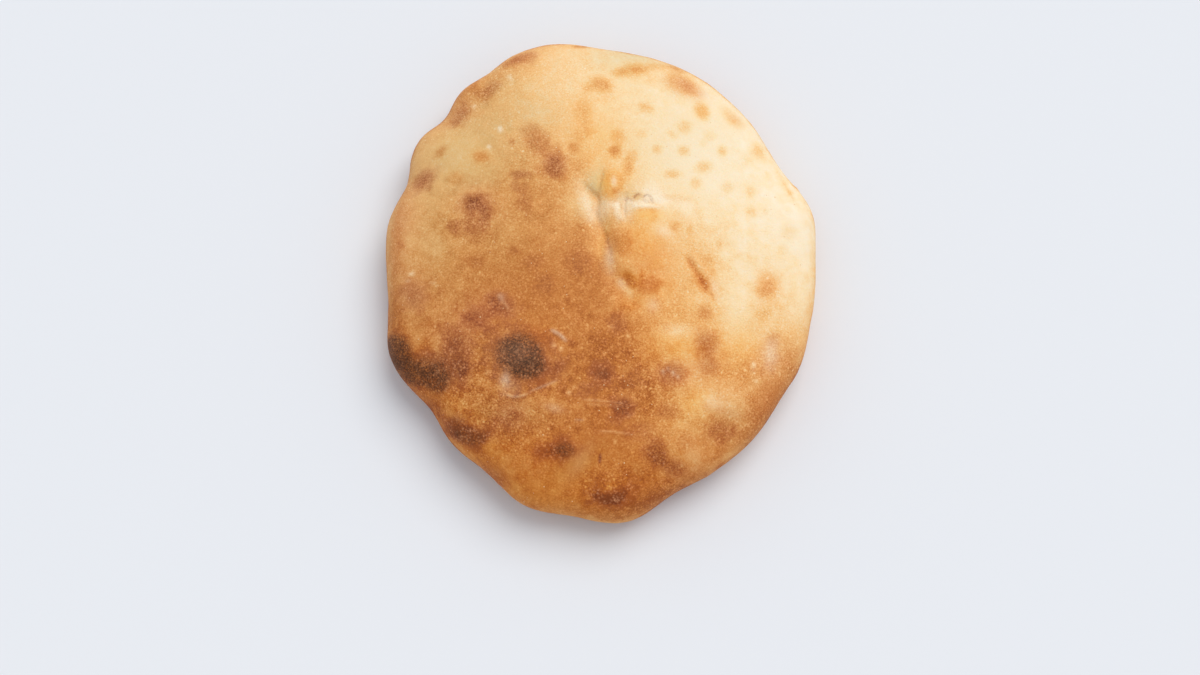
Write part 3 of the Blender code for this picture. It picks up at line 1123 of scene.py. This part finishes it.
def add_crust(camera):
    """The whole bread as one closed mesh, with its relief and the fields that its material reads."""
    bm = fine_crust()
    surface = Surface(bm, camera)
    paths = [surface.path(line[0]) for line in LINES]
    split_near_lines(bm, paths)
    close_underside(bm)
    bmesh.ops.triangulate(bm, faces=bm.faces)
    mesh = mesh_of(bm, "crust")
    points = values_of(mesh.vertices, "co", 3)
    normals = values_of(mesh.vertex_normals, "vector", 3)
    wobble = np.ones(len(points))
    for seed, (width, size) in enumerate(EDGE_WOBBLES, WOBBLE_SEED):
        wobble += size * noise_field(points, width, seed)
    height = crust_relief(points, surface, wobble)
    fields = crust_fields(points, normals, surface, wobble)
    add_lines(points, paths, height, fields)
    height *= smoothstep(*RELIEF_START, points[:, 2])
    moved = points + normals * height[:, None]
    moved[:, 2] = np.maximum(moved[:, 2], 0) + underside_pits(points)
    mesh.vertices.foreach_set("co", moved.ravel())
    for name, values in fields.items():
        attribute = mesh.attributes.new(name, "FLOAT", "POINT")
        attribute.data.foreach_set("value", np.clip(values, 0, MOST_FIELD))
    mesh.shade_smooth()
    mesh.materials.append(crust_material())
    crust = add_object("lepinja_crust", mesh)
    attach(crust, "root")
    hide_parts("lepinja")
    return mesh


def semolina_places(mesh):
    """Seeded places for grains, in patches and off charred spots: (point, normal, half width) of each."""
    rng = np.random.default_rng(SEMOLINA_SEED)
    points = values_of(mesh.polygons, "center", 3)
    normals = values_of(mesh.polygons, "normal", 3)
    char = values_of(mesh.attributes["char"].data, "value")
    first_corners = values_of(mesh.loops, "vertex_index", kind=int)[::3]
    chance = values_of(mesh.polygons, "area") * patches(points, *SEMOLINA_PATCHES, SEMOLINA_SEED)
    chance[points[:, 2] < RELIEF_START[1]] = 0
    chance[char[first_corners] > 0] = 0
    picked = rng.choice(len(points), SEMOLINA_COUNT, replace=False, p=chance / chance.sum())
    halves = rng.uniform(*SEMOLINA_HALVES, SEMOLINA_COUNT) * MM
    return zip(points[picked], normals[picked], halves)


def add_semolina(crust_mesh):
    """Grains of semolina, each a small irregular lump partly sunk into the crust, as one piece."""
    rng = np.random.default_rng(SEMOLINA_SEED + 1)
    bm = bmesh.new()
    for place, normal, half in semolina_places(crust_mesh):
        lump = bmesh.ops.create_icosphere(bm, subdivisions=1, radius=1)["verts"]
        turn = Vector(normal).to_track_quat("Z", "Y").to_matrix()
        middle = Vector(place - normal * half * SEMOLINA_SINK)
        stretch = rng.uniform(*SEMOLINA_STRETCH, 2)
        for vert in lump:
            shape = vert.co * (1 + rng.uniform(-SEMOLINA_JITTER, SEMOLINA_JITTER))
            shape = Vector((shape.x * stretch[0], shape.y * stretch[1], shape.z))
            vert.co = middle + turn @ shape * half
    mesh = mesh_of(bm, "grains")
    mesh.materials.append(semolina_material())
    grains = add_object("semolina_grains", mesh)
    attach(grains, "root")


def new_material(name, finish):
    """A material whose shader has the given values, and the shader."""
    material = bpy.data.materials.new(name)
    material.use_nodes = True
    shader = material.node_tree.nodes["Principled BSDF"]
    for socket, value in finish.items():
        shader.inputs[socket].default_value = value
    return material, shader


def add_node(tree, kind, inputs=(), **settings):
    """A node with its settings, and its inputs fed by sockets or plain values."""
    node = tree.nodes.new(kind)
    for name, value in settings.items():
        setattr(node, name, value)
    for name, value in inputs:
        if isinstance(value, bpy.types.NodeSocket):
            tree.links.new(value, node.inputs[name])
        else:
            node.inputs[name].default_value = value
    return node


def field(tree, name):
    """A field of the crust, written by add_crust."""
    return add_node(tree, "ShaderNodeAttribute", attribute_name=name).outputs["Fac"]


def scaled(tree, value, gain, start=0):
    """The value times the gain, plus the start, each of them a socket or a plain number."""
    inputs = [(0, value), (1, gain), (2, start)]
    return add_node(tree, "ShaderNodeMath", inputs, operation="MULTIPLY_ADD").outputs[0]


def eased(tree, value, start, end):
    """0 where the value is at start, 1 where it is at end, and neither less nor more beyond."""
    inputs = [("Value", value), ("From Min", start), ("From Max", end)]
    return add_node(tree, "ShaderNodeMapRange", inputs).outputs[0]


def mix(tree, share, first, second, blend="MIX"):
    """Two colours mixed. The node has sockets of one name for each kind of value, so they go by number."""
    inputs = [(0, share), (6, first), (7, second)]
    return add_node(tree, "ShaderNodeMix", inputs, data_type="RGBA", blend_type=blend).outputs[2]


def ramp(tree, value, stops):
    """Colours along a value from 0 to 1."""
    node = add_node(tree, "ShaderNodeValToRGB", [(0, value)])
    while len(node.color_ramp.elements) < len(stops):
        node.color_ramp.elements.new(1)
    for element, (place, colour) in zip(node.color_ramp.elements, stops):
        element.position = place
        element.color = colour
    return node.outputs[0]


def soft_noise(tree, place, scale, detail=2):
    """Noise from 0 to 1, mostly near 0.5."""
    inputs = [("Vector", place), ("Scale", scale), ("Detail", detail)]
    return add_node(tree, "ShaderNodeTexNoise", inputs).outputs["Fac"]


def wave(tree, place, width):
    """Noise of bumps as wide as given, from about -0.5 to 0.5."""
    return scaled(tree, soft_noise(tree, place, 1 / width), 1, -0.5)


def dots(tree, place, width, reach, scale, detail, cover):
    """Dots in irregular cells, some stronger than others, from 0 off them to 1."""
    cell = add_node(tree, "ShaderNodeTexVoronoi", [("Vector", place), ("Scale", 1 / width)])
    dot = eased(tree, cell.outputs["Distance"], reach[1], reach[0])
    return scaled(tree, dot, eased(tree, soft_noise(tree, place, scale / width, detail), *cover))


def roughened(tree, name, ripple, gain):
    """A field made uneven by the ripple times the gain, and 0 where it was 0."""
    return scaled(tree, field(tree, name), scaled(tree, ripple, gain, 1))


def baked_colour(tree, place, ripple, speckle):
    """The crust's colour by how far it is baked, with the painted shade and light that the baking holds in
    places.
    """
    bake_and_shading = field(tree, "bake_and_shading")
    unevenness = scaled(tree, scaled(tree, bake_and_shading, *UNEVENNESS), field(tree, "grain"))
    light = scaled(tree, dots(tree, place, **PALE_DOTS), -DOT_SHARE, ripple)
    light = scaled(tree, speckle, -SPECKLE_SHARE, light)
    return ramp(tree, scaled(tree, light, unevenness, bake_and_shading), BAKE_COLOURS)


def darkened(tree, colour, name, ripple, gain, reach, stops):
    """The colour, covered by a field's own colours as far as the field goes from 0 to reach."""
    value = roughened(tree, name, ripple, gain)
    return mix(tree, eased(tree, value, 0, reach), colour, ramp(tree, value, stops))


def speckled(tree, colour, speckle):
    """The colour with the light speckles of its baked and scorched places."""
    strength = scaled(tree, field(tree, "bake_and_shading"), *SPECKLES_OF_BAKE)
    strength = scaled(tree, field(tree, "scorch_and_shade"), SPECKLES_OF_SCORCH, strength)
    strength = scaled(tree, strength, field(tree, "grain"))
    return mix(tree, scaled(tree, strength, speckle), colour, SPECKLE_COLOUR)


def crust_colour(tree, place, ripple):
    speckle = dots(tree, place, **SPECKLES)
    colour = baked_colour(tree, place, ripple, speckle)
    colour = darkened(tree, colour, "scorch_and_shade", ripple, SCORCH_RIPPLE, SCORCH_FULL, SCORCH_COLOURS)
    colour = darkened(tree, colour, "char", ripple, CHAR_RIPPLE, CHAR_FULL, CHAR_COLOURS)
    for name, tint in TINTS.items():
        colour = mix(tree, field(tree, name), colour, tint, "MULTIPLY")
    colour = speckled(tree, colour, speckle)
    return mix(tree, roughened(tree, "flour_and_highlight", ripple, FLOUR_RIPPLE), colour, FLOUR_COLOUR)


def crust_bump(tree, ripple):
    """The fine relief, stronger where the crust is baked."""
    strength = scaled(tree, scaled(tree, field(tree, "bake_and_shading"), *GRAIN_RELIEF), field(tree, "grain"))
    height = scaled(tree, ripple, strength)
    return add_node(tree, "ShaderNodeBump", [("Height", height), ("Distance", GRAIN_HEIGHT)]).outputs[0]


def crust_material():
    material, shader = new_material("crust", CRUST_FINISH)
    tree = material.node_tree
    place = add_node(tree, "ShaderNodeTexCoord").outputs["Object"]
    grain = scaled(tree, wave(tree, place, GRAIN_WIDTH), GRAIN_SHARE)
    ripple = scaled(tree, wave(tree, place, BLOTCH_WIDTH), BLOTCH_SHARE, grain)
    tree.links.new(crust_colour(tree, place, ripple), shader.inputs["Base Color"])
    tree.links.new(crust_bump(tree, ripple), shader.inputs["Normal"])
    return material


def semolina_material():
    material, shader = new_material("semolina", SEMOLINA_FINISH)
    tree = material.node_tree
    place = add_node(tree, "ShaderNodeTexCoord").outputs["Object"]
    shade = soft_noise(tree, place, 1 / BLOTCH_WIDTH)
    tree.links.new(mix(tree, shade, SEMOLINA_DARK, SEMOLINA_LIGHT), shader.inputs["Base Color"])
    return material


def add_floor():
    bm = bmesh.new()
    bmesh.ops.create_grid(bm, x_segments=1, y_segments=1, size=FLOOR_HALF_WIDTH)
    mesh = mesh_of(bm, "floor")
    mesh.materials.append(new_material("floor", FLOOR_FINISH)[0])
    floor = add_object("floor", mesh)


def add_light():
    sun = bpy.data.lights.new("sun", "SUN")
    sun.energy = SUN_STRENGTH
    sun.angle = SUN_SPREAD
    sun.color = SUN_COLOUR
    quarter_turn = math.pi / 2
    add_object("sun", sun).rotation_euler = (quarter_turn - SUN_ELEVATION, 0, quarter_turn + SUN_BEARING)
    world = bpy.data.worlds.new("world")
    world.use_nodes = True
    background = world.node_tree.nodes["Background"]
    background.inputs["Color"].default_value = SKY_COLOUR
    background.inputs["Strength"].default_value = SKY_STRENGTH
    bpy.context.scene.world = world
    bpy.context.scene.view_settings.view_transform = "Standard"


camera = add_camera()
add_semolina(add_crust(camera))
add_floor()
add_light()
